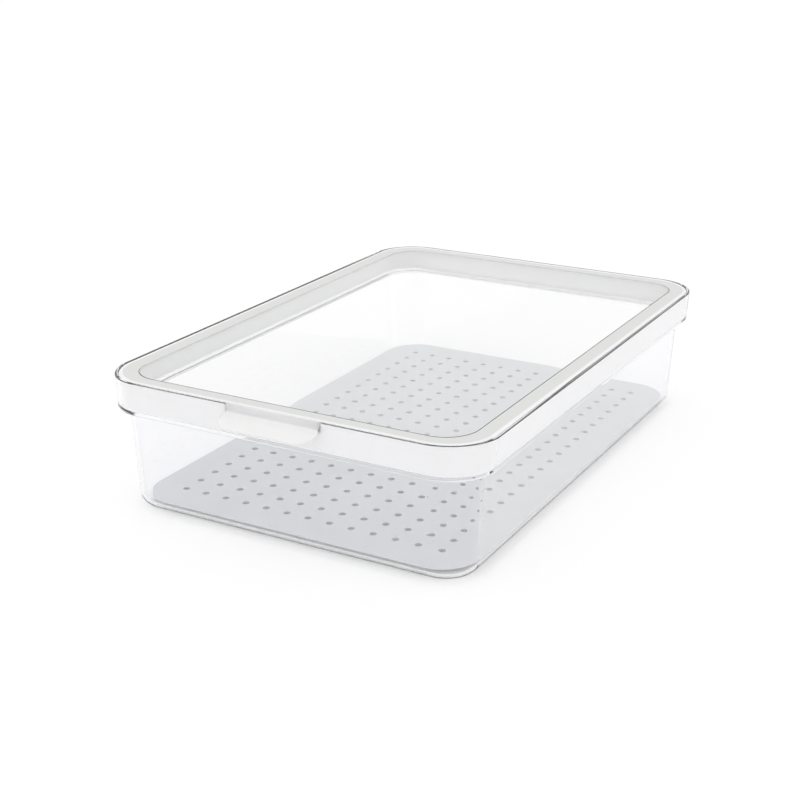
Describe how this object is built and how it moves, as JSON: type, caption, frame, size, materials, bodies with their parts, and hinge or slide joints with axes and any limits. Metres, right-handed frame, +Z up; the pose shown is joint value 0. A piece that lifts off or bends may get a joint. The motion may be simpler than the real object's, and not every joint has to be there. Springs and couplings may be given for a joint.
{
  "type": "fridge organizer bin",
  "caption": "Clear rectangular refrigerator bin with a lift-off lid, a front lift tab and a perforated drip tray that keeps food off the floor.",
  "frame": {"origin": "centre of the bin's underside, on the surface that it stands on", "axes": "+Y along the bin's length, with the lid's tab at -Y; +Z up; +X across the bin"},
  "size_m": [0.184, 0.2792, 0.062],
  "materials": {
    "clear_shell": "clear, polished",
    "milky_frame": "milky translucent, semi-gloss",
    "clear_window": "clear, polished",
    "grey_tray": "fine satin"
  },
  "bodies": {
    "bin": {"bin": "clear_shell"},
    "lid": {"lid_frame": "milky_frame", "lid_window": "clear_window"},
    "tray": {"drip_tray": "grey_tray"}
  },
  "joints": [
    {"name": "lid_lift", "type": "slide", "parent": "bin", "child": "lid", "axis": [0, 0, 1], "range_m": [0, 0.15]},
    {"name": "tray_lift", "type": "slide", "parent": "bin", "child": "tray", "axis": [0, 0, 1], "range_m": [0, 0.075]}
  ],
  "couplings": [
    {"joint": "tray_lift", "follows": "lid_lift", "ratio": 0.5}
  ]
}
